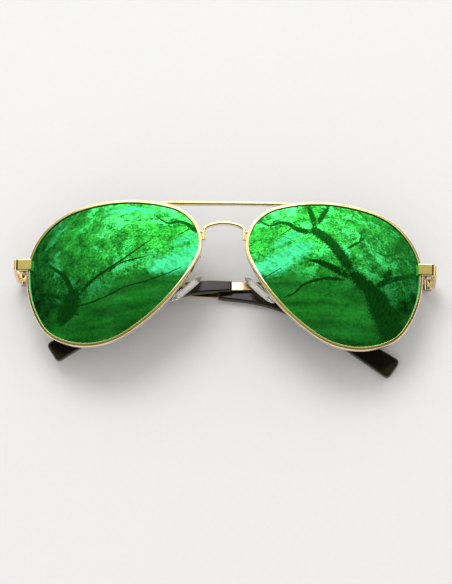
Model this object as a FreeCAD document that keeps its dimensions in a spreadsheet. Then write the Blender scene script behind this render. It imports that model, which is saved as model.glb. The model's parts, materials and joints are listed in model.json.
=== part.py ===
"""Metal aviator sunglasses, folded and lying face up on a flat surface.

Millimetres.  Most sizes are given in the frame of the front: x across the face, y up towards the
brow bar, z forward out of the lenses, with y = 0 at the height of the lens centres.  `lie_down`
then places that frame in the part's own frame, where +Z is up and z = 0 is the surface that the
folded glasses lie on.  "right" is the +X side and "left" the -X side.
"""
import FreeCAD, Part
import math
import os
import Sketcher

V = FreeCAD.Vector
SIDES = (("left", -1), ("right", 1))

# ---------------------------------------------------------------- driving dimensions
DIMENSIONS = (
    # lenses and eyewires
    ("lens_centre_x", 37.4, "lens vertex from the middle plane"),
    ("wrap_angle", 8.0, "outward turn of each lens axis, degrees"),
    ("lens_curve", 100.0, "radius of the front of each lens"),
    ("lens_thickness", 1.6, "lens thickness"),
    ("bevel_height", 0.5, "how far the lens bevel stands into the groove"),
    ("bevel_width", 0.7, "width of the lens bevel"),
    ("rim_width", 1.1, "eyewire width seen from the front"),
    ("rim_front", 0.5, "how far the eyewire stands in front of the lens curve"),
    ("rim_depth", 1.8, "eyewire depth along the lens axis"),
    ("rim_round", 0.3, "rounding of the eyewire's long edges"),
    ("rim_split", 0.2, "split in the eyewire between the lock blocks"),
    ("rim_split_x", 29.0, "split in the eyewire from the lens centre"),
    ("outline_top_x", -3.51, "top of the lens opening from the lens centre, outward positive"),
    ("outline_top_y", 24.97, "top of the lens opening above the lens centre"),
    ("shoulder_radius", 22.3, "outline radius of the temporal shoulder"),
    ("side_radius", 34.2, "outline radius of the temporal side"),
    ("corner_radius", 13.3, "outline radius of the lower temporal corner"),
    ("belly_radius", 24.2, "outline radius of the lower edge"),
    ("cheek_radius", 57.2, "outline radius of the long lower nasal run"),
    # brow bar and bridge
    ("bar_radius", 0.8, "brow bar radius"),
    ("bar_height", 25.0, "brow bar above the lens centres"),
    ("bar_setback", 2.4, "brow bar behind the lens vertex"),
    ("bar_straight", 16.5, "half length of the full section"),
    ("bar_reach", 22.8, "half length to the tapered ends"),
    ("bar_tip_radius", 0.3, "radius at the tapered ends"),
    ("bridge_radius", 0.67, "bridge wire radius"),
    ("bridge_height", 17.4, "top of the bridge's centre line above the lens centres"),
    ("bridge_leg_x", 6.75, "bridge legs from the middle plane"),
    ("bridge_leg_end", 11.4, "height of the legs' free ends"),
    ("bridge_arch", 14.0, "radius of the bridge's gentle arch"),
    ("bridge_bend", 2.3, "bend radius of the bridge's shoulders"),
    ("bridge_setback", 1.1, "bridge behind the lens vertex"),
    ("bridge_joint_height", 14.2, "height of the brazed joints with the eyewires"),
    ("bridge_joint_radius", 0.45, "radius of the brazed joints"),
    ("bridge_joint_length", 1.4, "length of the brazed joints, before they are fitted"),
    # end pieces, hinges and locks
    ("end_height", 3.8, "height of the end piece strip"),
    ("end_centre", 4.1, "middle of the end piece above the lens centres"),
    ("end_thickness", 1.2, "thickness of the end piece strip"),
    ("end_width_half", 71.6, "outer face of the end piece from the middle plane"),
    ("end_inner_x", 65.3, "inner end of the end piece, before it is fitted to the lens opening"),
    ("end_front_inner", -7.15, "front face at the inner end"),
    ("end_front_outer", -7.9, "front face at the bend"),
    ("end_bend", 0.9, "outer radius of the bend"),
    ("hinge_x", 69.0, "hinge axis from the middle plane"),
    ("hinge_z", -21.5, "hinge axis behind the lens vertex"),
    ("butt_gap", 0.55, "half of the gap between end piece and temple when open"),
    ("knuckle_radius", 1.3, "outer radius of the hinge knuckles"),
    ("knuckle_middle", 1.3, "height of the temple knuckle"),
    ("knuckle_gap", 0.05, "axial clearance between knuckles"),
    ("hinge_screw_radius", 0.6, "hinge screw shaft radius"),
    ("hinge_head_radius", 1.25, "hinge screw head radius"),
    ("hinge_head_height", 0.6, "hinge screw head height"),
    ("screw_clearance", 0.03, "radial clearance of every screw shaft"),
    ("screw_slot", 0.35, "width of a screw slot"),
    ("leaf_thickness", 0.8, "thickness of the hinge leaves"),
    ("leaf_length", 4.6, "length of the hinge leaves"),
    ("front_leaf_start", 1.6, "hinge axis to the back edge of the front leaf's plate"),
    ("temple_leaf_start", 1.6, "hinge axis to the plate of the temple leaf"),
    ("temple_leaf_height", 2.8, "height of the temple leaf's plate"),
    ("temple_leaf_drop", 0.25, "how far the temple leaf's plate sits below the knuckle's middle"),
    ("tongue_length", 2.2, "length of the tongue between knuckle and temple leaf"),
    ("lock_x", 67.8, "middle of the lock blocks from the middle plane"),
    ("lock_setback", 10.9, "middle of the lock blocks behind the lens vertex"),
    ("lock_length", 3.6, "lock block size across the face"),
    ("lock_depth", 2.8, "lock block size from front to back"),
    ("lock_height", 1.75, "height of one lock block"),
    ("lock_screw_radius", 0.5, "lock screw shaft radius"),
    ("lock_head_radius", 0.85, "lock screw head radius"),
    ("lock_head_height", 0.5, "lock screw head height"),
    # temples
    ("temple_thickness", 1.2, "thickness of the metal temple"),
    ("temple_offset", 1.4, "inner face of the metal temple from the hinge axis"),
    ("left_drop_slope", 3.9, "slope of the left temple's straight run, degrees"),
    ("right_drop_slope", 2.3, "slope of the right temple's straight run, degrees"),
    ("tip_slope", 33.7, "slope of the end behind the ear, degrees"),
    ("bend_distance", 89.2, "hinge axis to the corner of the two runs"),
    ("tip_run", 45.3, "corner to the end of the tip"),
    ("bend_radius", 58.0, "radius of the bend over the ear"),
    ("sleeve_start", 66.8, "hinge axis to the start of the sleeve"),
    ("sleeve_thickness", 2.6, "thickness of the sleeve"),
    ("sleeve_start_height", 3.6, "sleeve height where it starts"),
    ("sleeve_bend_height", 4.2, "sleeve height at the bend"),
    ("sleeve_end_height", 7.4, "sleeve height at its squared end"),
    ("sleeve_round", 0.7, "rounding of the sleeve's edges"),
    ("sleeve_corner", 1.6, "corner radius of the squared end"),
    ("arm_end_height", 2.7, "height of the metal temple where it enters the sleeve"),
    ("core_height", 1.8, "height of the core wire in the sleeve"),
    ("core_end_margin", 6.0, "sleeve left beyond the end of the core wire"),
    ("left_fold", 90.8, "angle by which the left temple is folded, degrees"),
    ("right_fold", 93.2, "angle by which the right temple is folded, degrees"),
    # nose pads
    ("pad_x", 12.3, "pad centre from the middle plane"),
    ("pad_y", -4.9, "pad centre above the lens centres"),
    ("pad_z", -5.0, "pad centre behind the lens vertex"),
    ("pad_length", 13.6, "pad length"),
    ("pad_width", 6.8, "pad width"),
    ("pad_thickness", 2.6, "pad thickness"),
    ("pad_round", 1.0, "rounding of the pad's edges"),
    ("core_plate_length", 8.4, "plate inside the pad"),
    ("core_plate_width", 3.2, "width of the plate inside the pad"),
    ("core_plate_thickness", 0.7, "thickness of the plate inside the pad"),
    ("stem_width", 1.1, "width of the pad's tongue"),
    ("stem_length", 1.5, "length of the pad's tongue along the pad"),
    ("box_near", 1.8, "open side of the pad box from the pad's middle"),
    ("box_axis", 2.9, "pad screw axis from the pad's middle"),
    ("box_far", 4.4, "closed side of the pad box from the pad's middle"),
    ("box_length", 3.0, "pad box size along the pad"),
    ("box_width", 2.4, "pad box size across the pad"),
    ("box_wall", 0.45, "pad box wall"),
    ("pad_screw_radius", 0.35, "pad screw shaft radius"),
    ("box_play", 0.1, "clearance of the pad's tongue in the box"),
    ("pad_head_radius", 0.7, "pad screw head radius"),
    ("pad_head_height", 0.4, "pad screw head height"),
    ("pad_wire_radius", 0.5, "pad arm wire radius"),
    ("pad_wire_bend", 1.3, "pad arm bend radius"),
    ("pad_wire_angle", 256.0, "place of the pad arm on the eyewire, degrees from the top"),
    ("pad_wire_back", 3.2, "pad arm's first run behind the eyewire"),
    ("pad_wire_rise", 1.7, "pad arm's last run above the box"),
    ("pad_wire_sunk", 0.3, "depth of the pad arm's brazed joint with the eyewire"),
)

doc = FreeCAD.newDocument("aviator_sunglasses")
sheet = doc.addObject("Spreadsheet::Sheet", "dimensions")
for row, (alias, value, meaning) in enumerate(DIMENSIONS, start=1):
    sheet.set(f"A{row}", meaning)
    sheet.set(f"B{row}", str(value))
    sheet.setAlias(f"B{row}", alias)
doc.recompute()


def dim(alias):
    """The value of one cell of the sheet."""
    return float(sheet.get(alias))


parts = {}


def keep(label, obj, placement):
    """Name a finished sub-part and give it its place in the front's frame."""
    obj.Label = label
    obj.Placement = placement
    parts[label] = obj
    return obj


def object_name(label):
    return "".join(word.capitalize() for word in label.split("_"))


# ---------------------------------------------------------------- frames
def axes_placement(origin, x_axis, y_axis):
    """Placement whose x and y axes point along the given directions."""
    z_axis = x_axis.cross(y_axis)
    matrix = FreeCAD.Matrix(
        x_axis.x, y_axis.x, z_axis.x, origin.x,
        x_axis.y, y_axis.y, z_axis.y, origin.y,
        x_axis.z, y_axis.z, z_axis.z, origin.z,
        0, 0, 0, 1)
    return FreeCAD.Placement(matrix)


HERE = FreeCAD.Placement()


def lens_frame(sign):
    """Frame of one lens: origin at the vertex, x outward for +1 and inward for -1, z out of it."""
    turn = FreeCAD.Rotation(V(0, 1, 0), sign * dim("wrap_angle"))
    return FreeCAD.Placement(V(sign * dim("lens_centre_x"), 0, 0), turn)


def temple_frame(side, sign):
    """Frame of one folded temple: origin on the hinge axis, x along the temple, y up."""
    past_parallel = math.radians(dim(f"{side}_fold") - 90)
    along = V(-sign * math.cos(past_parallel), 0, math.sin(past_parallel))
    origin = V(sign * dim("hinge_x"), dim("end_centre"), dim("hinge_z"))
    return axes_placement(origin, along, V(0, 1, 0))


# Directions of the right nose pad; the left one's are mirrored.
PAD_TOWARDS_NOSE = V(-0.63, -0.70, -0.33)
PAD_ALONG = V(-0.744, 0.668, 0)


def pad_frame(sign):
    """Frame of one nose pad: x along the pad, z towards the nose."""
    towards_nose = V(sign * PAD_TOWARDS_NOSE.x, PAD_TOWARDS_NOSE.y, PAD_TOWARDS_NOSE.z).normalize()
    along = V(sign * PAD_ALONG.x, PAD_ALONG.y, PAD_ALONG.z)
    along = (along - towards_nose * along.dot(towards_nose)).normalize()
    origin = V(sign * dim("pad_x"), dim("pad_y"), dim("pad_z"))
    return axes_placement(origin, along, towards_nose.cross(along))


# ---------------------------------------------------------------- lens outline
# The outline is a closed chain of tangent arcs.  Each arc starts where the outward normal has
# turned clockwise from straight up by the angle below; 90 is temporal and 270 nasal.
ARC_STARTS = [math.radians(angle) for angle in (17, 91, 123, 151, 212, 246, 345)]


def normal_at(angle):
    return V(math.sin(angle), math.cos(angle), 0)


def arc_ends():
    """Start and end normal angles of each arc, in order from the temporal shoulder."""
    ends = ARC_STARTS[1:] + [ARC_STARTS[0] + 2 * math.pi]
    return list(zip(ARC_STARTS, ends))


def arc_radii():
    """The five given radii, and the nasal shoulder and brow radii that close the chain."""
    radii = [dim(f"{name}_radius") for name in ("shoulder", "side", "corner", "belly", "cheek")]
    spans = [normal_at(end) - normal_at(start) for start, end in arc_ends()]
    gap = V(0, 0, 0)
    for radius, span in zip(radii, spans):
        gap = gap - span * radius
    nasal, brow = spans[5], spans[6]
    scale = nasal.x * brow.y - nasal.y * brow.x
    radii.append((gap.x * brow.y - gap.y * brow.x) / scale)
    radii.append((nasal.x * gap.y - nasal.y * gap.x) / scale)
    return radii


def outline_point(angle, offset, sign):
    """Point of the outline where the outward normal has turned by `angle`, moved out by `offset`."""
    radii = arc_radii()
    point = V(dim("outline_top_x"), dim("outline_top_y"), 0)
    point = point + (normal_at(ARC_STARTS[0]) - normal_at(0)) * radii[6]
    for radius, (start, end) in zip(radii, arc_ends()):
        if angle <= start:
            break
        stop = min(angle, end)
        point = point + (normal_at(stop) - normal_at(start)) * radius
    point = point + normal_at(angle) * offset
    return V(sign * point.x, point.y, 0)


def outline_face(offset, sign):
    edges = []
    for start, end in arc_ends():
        corners = [outline_point(a, offset, sign) for a in (start, (start + end) / 2, end)]
        edges.append(Part.Arc(*corners).toShape())
    return Part.Face(Part.Wire(edges))


def outline_prism(offset, sign):
    """A prism of the outline along the lens axis, long enough to pass through the lens."""
    reach = 30
    face = outline_face(offset, sign)
    face.translate(V(0, 0, -reach))
    return face.extrude(V(0, 0, 2 * reach))


def lens_shell(front, thickness):
    """The space between two spheres about the lens's centre of curvature."""
    centre = V(0, 0, -dim("lens_curve"))
    outer = dim("lens_curve") + front
    return Part.makeSphere(outer, centre).cut(Part.makeSphere(outer - thickness, centre))


def rim_envelope(sign):
    """The eyewire and all that it encloses, which its neighbours are fitted round."""
    shell = lens_shell(dim("rim_front"), dim("rim_depth"))
    solid = outline_prism(dim("rim_width"), sign).common(shell)
    return front_solid(solid, sign)


def front_solid(shape, sign):
    """A shape made in a lens's frame, moved into the front's frame, as one solid."""
    solid = shape.Solids[0].copy()
    solid.Placement = lens_frame(sign)
    return solid


def bevel(height, width, sign):
    """The ring that stands out from the lens edge into the eyewire's groove."""
    middle = (dim("rim_depth") - width) / 2
    shell = lens_shell(dim("rim_front") - middle, width)
    return outline_prism(height, sign).common(shell)


def shape_object(label, shape, placement=HERE):
    """A sub-part whose shape is computed here from the sheet."""
    obj = doc.addObject("Part::Feature", object_name(label))
    obj.Shape = shape
    return keep(label, obj, placement)


def make_eyewire(side, sign):
    fit = dim("screw_clearance")
    shell = lens_shell(dim("rim_front"), dim("rim_depth"))
    ring = outline_prism(dim("rim_width"), sign).cut(outline_prism(0, sign)).common(shell)
    long_edges = [edge for edge in ring.Edges if edge.Length > 2 * dim("rim_depth")]
    ring = ring.makeFillet(dim("rim_round"), long_edges)
    ring = ring.cut(bevel(dim("bevel_height") + fit, dim("bevel_width") + 2 * fit, sign))
    reach = 40
    split = Part.makeBox(reach / 4, dim("rim_split"), reach)
    split.translate(V(sign * dim("rim_split_x") - reach / 8,
                      dim("end_centre") - dim("rim_split") / 2, -reach / 2))
    shape_object(f"{side}_eyewire", ring.cut(split).Solids[0], lens_frame(sign))


def make_lens(side, sign):
    fit = dim("screw_clearance")
    blank = outline_prism(-fit, sign).common(lens_shell(0, dim("lens_thickness")))
    lens = blank.fuse(bevel(dim("bevel_height"), dim("bevel_width"), sign))
    shape_object(f"{side}_lens", lens.removeSplitter().Solids[0], lens_frame(sign))


# ---------------------------------------------------------------- helpers for features
def origin_plane(body, role):
    for feature in body.Origin.OriginFeatures:
        if feature.Role == role:
            return feature
    raise ValueError(role)


def new_sketch(body, name, role, offset=HERE):
    sketch = body.newObject("Sketcher::SketchObject", name)
    sketch.AttachmentSupport = (origin_plane(body, role), "")
    sketch.MapMode = "FlatFace"
    sketch.AttachmentOffset = offset
    return sketch


def add_circle(sketch, centre, alias):
    """A circle whose radius follows one cell of the sheet."""
    index = sketch.addGeometry(Part.Circle(centre, V(0, 0, 1), dim(alias)))
    constraint = sketch.addConstraint(Sketcher.Constraint("Radius", index, dim(alias)))
    sketch.renameConstraint(constraint, "radius")
    sketch.setExpression("Constraints.radius", f"dimensions.{alias}")


def add_outline(sketch, edges):
    """Lines of two points and arcs of three, given in order round the outline."""
    for edge in edges:
        if len(edge) == 2:
            sketch.addGeometry(Part.LineSegment(*edge))
        else:
            sketch.addGeometry(Part.Arc(*edge))


def pad_feature(body, sketch, name, formula):
    """A pad to both sides of its sketch."""
    pad = body.newObject("PartDesign::Pad", name)
    pad.Profile = sketch
    pad.Midplane = True
    pad.setExpression("Length", formula)
    sketch.Visibility = False
    return pad


def cylinder(name, radius, height, base, axis=V(0, 0, 1)):
    """A cylinder whose radius and height are formulas of the sheet's cells."""
    obj = doc.addObject("Part::Cylinder", name)
    obj.setExpression("Radius", radius)
    obj.setExpression("Height", height)
    obj.Placement = FreeCAD.Placement(base, FreeCAD.Rotation(V(0, 0, 1), axis))
    return obj


def box(name, length, width, height, centre):
    """A box with its middle at `centre`, whose sides are formulas of the sheet's cells."""
    obj = doc.addObject("Part::Box", name)
    for side, formula in (("Length", length), ("Width", width), ("Height", height)):
        obj.setExpression(side, formula)
    doc.recompute()
    sides = V(float(obj.Length), float(obj.Width), float(obj.Height))
    obj.Placement = FreeCAD.Placement(centre - sides * 0.5, FreeCAD.Rotation())
    return obj


def fuse(name, shapes):
    obj = doc.addObject("Part::MultiFuse", name)
    obj.Shapes = shapes
    return obj


def cut(name, base, tool):
    obj = doc.addObject("Part::Cut", name)
    obj.Base = base
    obj.Tool = tool
    return obj


def tool_object(name, shape):
    """A computed shape that only serves to cut or shape others."""
    obj = doc.addObject("Part::Feature", name)
    obj.Shape = shape
    return obj


def rounded_path(points, radius):
    """Straight runs through the points, with a tangent arc of the given radius at each corner."""
    edges = []
    start = points[0]
    for before, corner, after in zip(points, points[1:], points[2:]):
        incoming = (corner - before).normalize()
        outgoing = (after - corner).normalize()
        half_turn = incoming.getAngle(outgoing) / 2
        reach = radius * math.tan(half_turn)
        inward = (outgoing - incoming).normalize()
        arc_start = corner - incoming * reach
        arc_end = corner + outgoing * reach
        arc_middle = corner + inward * (radius / math.cos(half_turn) - radius)
        edges.append(Part.LineSegment(start, arc_start).toShape())
        edges.append(Part.Arc(arc_start, arc_middle, arc_end).toShape())
        start = arc_end
    edges.append(Part.LineSegment(start, points[-1]).toShape())
    return Part.Wire(edges)


def bent_wire(points, bend, radius):
    path = rounded_path(points, bend)
    first_run = points[1] - points[0]
    section = Part.Wire([Part.makeCircle(radius, points[0], first_run)])
    return path.makePipeShell([section], True, True)


# ---------------------------------------------------------------- brow bar and bridge
def fitted(label, name, base, tools, placement=HERE):
    """A sub-part with the space of its neighbours cut out of it."""
    tool = tools[0] if len(tools) == 1 else fuse(name + "Neighbours", tools)
    result = cut(name, base, tool)
    return keep(label, result, placement)


def make_brow_bar(rims):
    """A straight rod with tapered ends that run out along the eyewires' tops."""
    straight, taper = "dimensions.bar_straight", "dimensions.bar_reach - dimensions.bar_straight"
    middle = V(0, dim("bar_height"), -dim("bar_setback"))
    pieces = []
    for side, sign in SIDES:
        outward = FreeCAD.Rotation(V(0, 0, 1), V(sign, 0, 0))
        rod = cylinder(f"BrowBarRod{side.capitalize()}", "dimensions.bar_radius", straight, middle,
                       V(sign, 0, 0))
        cone = doc.addObject("Part::Cone", f"BrowBarTaper{side.capitalize()}")
        cone.setExpression("Radius1", "dimensions.bar_radius")
        cone.setExpression("Radius2", "dimensions.bar_tip_radius")
        cone.setExpression("Height", taper)
        cone.Placement = FreeCAD.Placement(middle + V(sign * dim("bar_straight"), 0, 0), outward)
        pieces += [rod, cone]
    whole = fuse("BrowBarBlank", pieces)
    whole.Refine = True
    fitted("brow_bar", "BrowBar", whole, rims)


def make_bridge(rims):
    body = doc.addObject("PartDesign::Body", "BridgeBlank")
    top, leg, bend = dim("bridge_height"), dim("bridge_leg_x"), dim("bridge_bend")
    setback = -dim("bridge_setback")
    section = new_sketch(body, "BridgeSection", "YZ_Plane")
    add_circle(section, V(top, setback, 0), "bridge_radius")
    path = new_sketch(body, "BridgePath", "XY_Plane",
                      FreeCAD.Placement(V(0, 0, setback), FreeCAD.Rotation()))
    arch = dim("bridge_arch")
    arch_centre = V(0, top - arch, 0)
    turn = math.asin((leg - bend) / (arch - bend))
    shoulder = arch_centre + normal_at(turn) * (arch - bend)
    meeting = arch_centre + normal_at(turn) * arch
    leg_top = shoulder + V(bend, 0, 0)
    halfway = (turn + math.radians(90)) / 2
    add_outline(path, [
        (V(0, top, 0), arch_centre + normal_at(turn / 2) * arch, meeting),
        (meeting, shoulder + normal_at(halfway) * bend, leg_top),
        (leg_top, V(leg, dim("bridge_leg_end"), 0)),
    ])
    half = body.newObject("PartDesign::AdditivePipe", "BridgeHalf")
    half.Profile = section
    half.Spine = (path, ["Edge1", "Edge2", "Edge3"])
    doc.recompute()
    whole = body.newObject("PartDesign::Mirrored", "BridgeWhole")
    whole.Originals = [half]
    whole.MirrorPlane = (origin_plane(body, "YZ_Plane"), [""])
    body.Tip = whole
    joints = []
    for side, sign in SIDES:
        base = V(sign * leg, dim("bridge_joint_height"), setback)
        joints.append(cylinder(f"BridgeJoint{side.capitalize()}", "dimensions.bridge_joint_radius",
                               "dimensions.bridge_joint_length", base, V(sign, 0, 0)))
    fitted("bridge", "Bridge", fuse("BridgeWithJoints", [body] + joints), rims)


# ---------------------------------------------------------------- end pieces, locks and hinges
def make_end_piece(side, sign, rim):
    body = doc.addObject("PartDesign::Body", object_name(f"{side}_end_blank"))
    profile = new_sketch(body, object_name(f"{side}_end_profile"), "XZ_Plane")
    thick, bend = dim("end_thickness"), dim("end_bend")
    outer, inner = dim("end_width_half"), dim("end_inner_x")
    z_in, z_out = dim("end_front_inner"), dim("end_front_outer")
    z_back = dim("hinge_z") + dim("butt_gap")
    slope = (z_out - z_in) / (outer - inner)
    turn = math.radians(90) + math.atan(slope)
    reach = bend / math.tan(turn / 2)
    centre = V(outer - bend, z_out - reach, 0)
    bend_start = V(outer - reach * math.cos(math.atan(slope)), z_out - slope * reach, 0)
    halfway = V(math.cos(math.radians(45)), math.sin(math.radians(45)), 0) * bend
    corners = [V(inner, z_in, 0), bend_start, centre + halfway, V(outer, z_out - reach, 0),
               V(outer, z_back, 0), V(outer - thick, z_back, 0),
               V(outer - thick, z_out - thick - slope * thick, 0), V(inner, z_in - thick, 0)]
    corners = [V(sign * point.x, point.y, 0) for point in corners]
    a, b, c, d, e, f, g, last = corners
    add_outline(profile, [(a, b), (b, c, d), (d, e), (e, f), (f, g), (g, last), (last, a)])
    pad_feature(body, profile, object_name(f"{side}_end_pad"), "dimensions.end_height")
    body.Placement = FreeCAD.Placement(V(0, dim("end_centre"), 0), FreeCAD.Rotation())
    return fitted(f"{side}_end_piece", object_name(f"{side}_end_piece"), body, [rim])


def slotted_screw(label, radius, head_radius, shaft_length, head_height, frame):
    """A screw along its own z axis: the shaft starts at 0, the slotted head lies below 0."""
    name = object_name(label)
    shaft = cylinder(name + "Shaft", radius, f"{shaft_length}", V(0, 0, 0))
    head = cylinder(name + "Head", head_radius, head_height, V(0, 0, 0), V(0, 0, -1))
    slot = box(name + "Slot", f"2 * {head_radius} + 1", "dimensions.screw_slot",
               "dimensions.screw_slot", V(0, 0, 0))
    doc.recompute()
    slot.Placement.Base.z = -float(head.Height) - float(slot.Height) / 4
    whole = fuse(name + "Blank", [shaft, head])
    return keep(label, cut(name, whole, slot), frame)


def make_locks(side, sign, rim, end_piece):
    """Two blocks on the ends of the split eyewire, drawn together by a screw from below."""
    x_middle, z_middle = sign * dim("lock_x"), -dim("lock_setback")
    for name, direction in (("upper", 1), ("lower", -1)):
        label = f"{side}_lock_{name}"
        height = dim("lock_height")
        y_middle = dim("end_centre") + direction * (dim("rim_split") + height) / 2
        block = box(object_name(label) + "Blank", "dimensions.lock_length",
                    "dimensions.lock_height", "dimensions.lock_depth",
                    V(x_middle, y_middle, z_middle))
        hole = cylinder(object_name(label) + "Hole",
                        "dimensions.lock_screw_radius + dimensions.screw_clearance",
                        "6 * dimensions.lock_height",
                        V(x_middle, y_middle - 3 * height, z_middle), V(0, 1, 0))
        fitted(label, object_name(label), block, [rim, end_piece, hole])
    bottom = dim("end_centre") - dim("rim_split") / 2 - dim("lock_height")
    frame = FreeCAD.Placement(V(x_middle, bottom, z_middle), FreeCAD.Rotation(V(1, 0, 0), -90))
    slotted_screw(f"{side}_lock_screw", "dimensions.lock_screw_radius",
                  "dimensions.lock_head_radius",
                  "2 * dimensions.lock_height + dimensions.rim_split",
                  "dimensions.lock_head_height", frame)


def make_hinge(side, sign):
    """Three knuckles on one vertical screw; the outer two belong to the front."""
    x_axis, z_axis, y_middle = sign * dim("hinge_x"), dim("hinge_z"), dim("end_centre")
    half = dim("end_height") / 2
    gap = dim("knuckle_gap")
    knuckle = "dimensions.knuckle_radius"
    hole_radius = "dimensions.hinge_screw_radius + dimensions.screw_clearance"
    inner_face = dim("end_width_half") - dim("end_thickness")
    leaf = dim("leaf_thickness")
    outer_height = half - dim("knuckle_middle") / 2 - gap
    name = object_name(f"{side}_front_leaf")
    knuckles = []
    for word, y_start in (("Lower", y_middle - half), ("Upper", y_middle + half - outer_height)):
        base = V(x_axis, y_start, z_axis)
        knuckles.append(cylinder(f"{name}Knuckle{word}", knuckle, f"{outer_height}", base,
                                 V(0, 1, 0)))
        web_width = inner_face - dim("hinge_x")
        web = box(f"{name}Web{word}", f"{web_width}", f"{outer_height}",
                  "2 * dimensions.knuckle_radius",
                  V(sign * (inner_face - web_width / 2), y_start + outer_height / 2,
                    z_axis + dim("knuckle_radius")))
        knuckles.append(web)
    plate = box(name + "Plate", "dimensions.leaf_thickness", "dimensions.end_height",
                "dimensions.leaf_length - dimensions.front_leaf_start",
                V(sign * (inner_face - leaf / 2), y_middle, 0))
    doc.recompute()
    plate.Placement.Base.z = z_axis + dim("front_leaf_start")
    hole = cylinder(name + "Hole", hole_radius, "4 * dimensions.end_height",
                    V(x_axis, y_middle - 4 * half, z_axis), V(0, 1, 0))
    keep(f"{side}_hinge_front_leaf", cut(name, fuse(name + "Blank", knuckles + [plate]), hole),
         HERE)
    frame = FreeCAD.Placement(V(x_axis, y_middle - half, z_axis), FreeCAD.Rotation(V(1, 0, 0), -90))
    slotted_screw(f"{side}_hinge_screw", "dimensions.hinge_screw_radius",
                  "dimensions.hinge_head_radius", "dimensions.end_height",
                  "dimensions.hinge_head_height", frame)


def make_temple_leaf(side, sign):
    """The middle knuckle and its leaf, in the temple's frame, on the inner side of the temple."""
    name = object_name(f"{side}_temple_leaf")
    out = sign
    middle = dim("temple_offset") - dim("leaf_thickness") / 2
    barrel = cylinder(name + "Knuckle", "dimensions.knuckle_radius", "dimensions.knuckle_middle",
                      V(0, -dim("knuckle_middle") / 2, 0), V(0, 1, 0))
    tongue = box(name + "Tongue", "dimensions.tongue_length", "dimensions.knuckle_middle",
                 "dimensions.temple_offset",
                 V(dim("tongue_length") / 2, 0, out * dim("temple_offset") / 2))
    plate_middle = (dim("temple_leaf_start") + dim("leaf_length")) / 2
    plate = box(name + "Plate", "dimensions.leaf_length - dimensions.temple_leaf_start",
                "dimensions.temple_leaf_height", "dimensions.leaf_thickness",
                V(plate_middle, -dim("temple_leaf_drop"), out * middle))
    hole = cylinder(name + "Hole", "dimensions.hinge_screw_radius + dimensions.screw_clearance",
                    "4 * dimensions.end_height", V(0, -2 * dim("end_height"), 0), V(0, 1, 0))
    leaf = cut(name, fuse(name + "Blank", [barrel, tongue, plate]), hole)
    keep(f"{side}_hinge_temple_leaf", leaf, temple_frame(side, sign))


# ---------------------------------------------------------------- temples
def temple_point(side, distance, rise):
    """Point of a temple's side view: `distance` along its bent centre line, `rise` above it."""
    first, last = math.radians(dim(f"{side}_drop_slope")), math.radians(dim("tip_slope"))
    radius = dim("bend_radius")
    turn = last - first
    reach = radius * math.tan(turn / 2)
    straight = dim("bend_distance") - reach
    along = V(math.cos(first), -math.sin(first), 0)
    up = V(math.sin(first), math.cos(first), 0)
    if distance <= straight:
        return along * distance + up * rise
    centre = along * straight - up * radius
    swept = min((distance - straight) / radius, turn)
    angle = first + swept
    radial = V(math.sin(angle), math.cos(angle), 0)
    beyond = distance - straight - radius * swept
    return centre + radial * (radius + rise) + V(math.cos(angle), -math.sin(angle), 0) * beyond


def bend_limits(side):
    """Centre-line distances at which the bend starts and ends, and of the end of the tip."""
    turn = math.radians(dim("tip_slope") - dim(f"{side}_drop_slope"))
    reach = dim("bend_radius") * math.tan(turn / 2)
    start = dim("bend_distance") - reach
    end = start + dim("bend_radius") * turn
    return start, end, end + dim("tip_run") - reach


def strip_edges(side, stations, rise_sign):
    """One long edge of a temple strip through stations of (distance, height)."""
    edges = []
    bend_start, bend_end, _ = bend_limits(side)
    for (d0, h0), (d1, h1) in zip(stations, stations[1:]):
        start = temple_point(side, d0, rise_sign * h0 / 2)
        end = temple_point(side, d1, rise_sign * h1 / 2)
        bent = bend_start - 1e-6 <= d0 and d1 <= bend_end + 1e-6
        middle = temple_point(side, (d0 + d1) / 2, rise_sign * (h0 + h1) / 4)
        edges.append((start, middle, end) if bent else (start, end))
    return edges


def reverse_edges(edges):
    return [tuple(reversed(edge)) for edge in reversed(edges)]


def strip_profile(side, stations):
    """Closed side view of a strip with square ends."""
    top = strip_edges(side, stations, 1)
    bottom = reverse_edges(strip_edges(side, stations, -1))
    return top + [(top[-1][-1], bottom[0][0])] + bottom + [(bottom[-1][-1], top[0][0])]


def arm_stations(side):
    """Stations of the metal strip and of the core wire inside the sleeve."""
    bend_start, bend_end, tip_end = bend_limits(side)
    start = dim("butt_gap")
    core = dim("core_height")
    return ([(start, dim("end_height")), (dim("sleeve_start"), dim("arm_end_height"))],
            [(dim("sleeve_start"), core), (bend_start, core), (bend_end, core),
             (tip_end - dim("core_end_margin"), core)])


def make_temple_arm(side, sign):
    body = doc.addObject("PartDesign::Body", object_name(f"{side}_temple_arm"))
    strip, core = arm_stations(side)
    name = object_name(f"{side}_temple")
    for part_name, stations in (("Strip", strip), ("Core", core)):
        sketch = new_sketch(body, f"{name}{part_name}Sketch", "XY_Plane")
        add_outline(sketch, strip_profile(side, stations))
        pad_feature(body, sketch, f"{name}{part_name}", "dimensions.temple_thickness")
    keep(f"{side}_temple_arm", body, side_of_hinge(side, sign))


def side_of_hinge(side, sign):
    """The temple's middle plane lies outside the hinge axis."""
    offset = sign * (dim("temple_offset") + dim("temple_thickness") / 2)
    shift = FreeCAD.Placement(V(0, 0, offset), FreeCAD.Rotation())
    return temple_frame(side, sign).multiply(shift)


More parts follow.
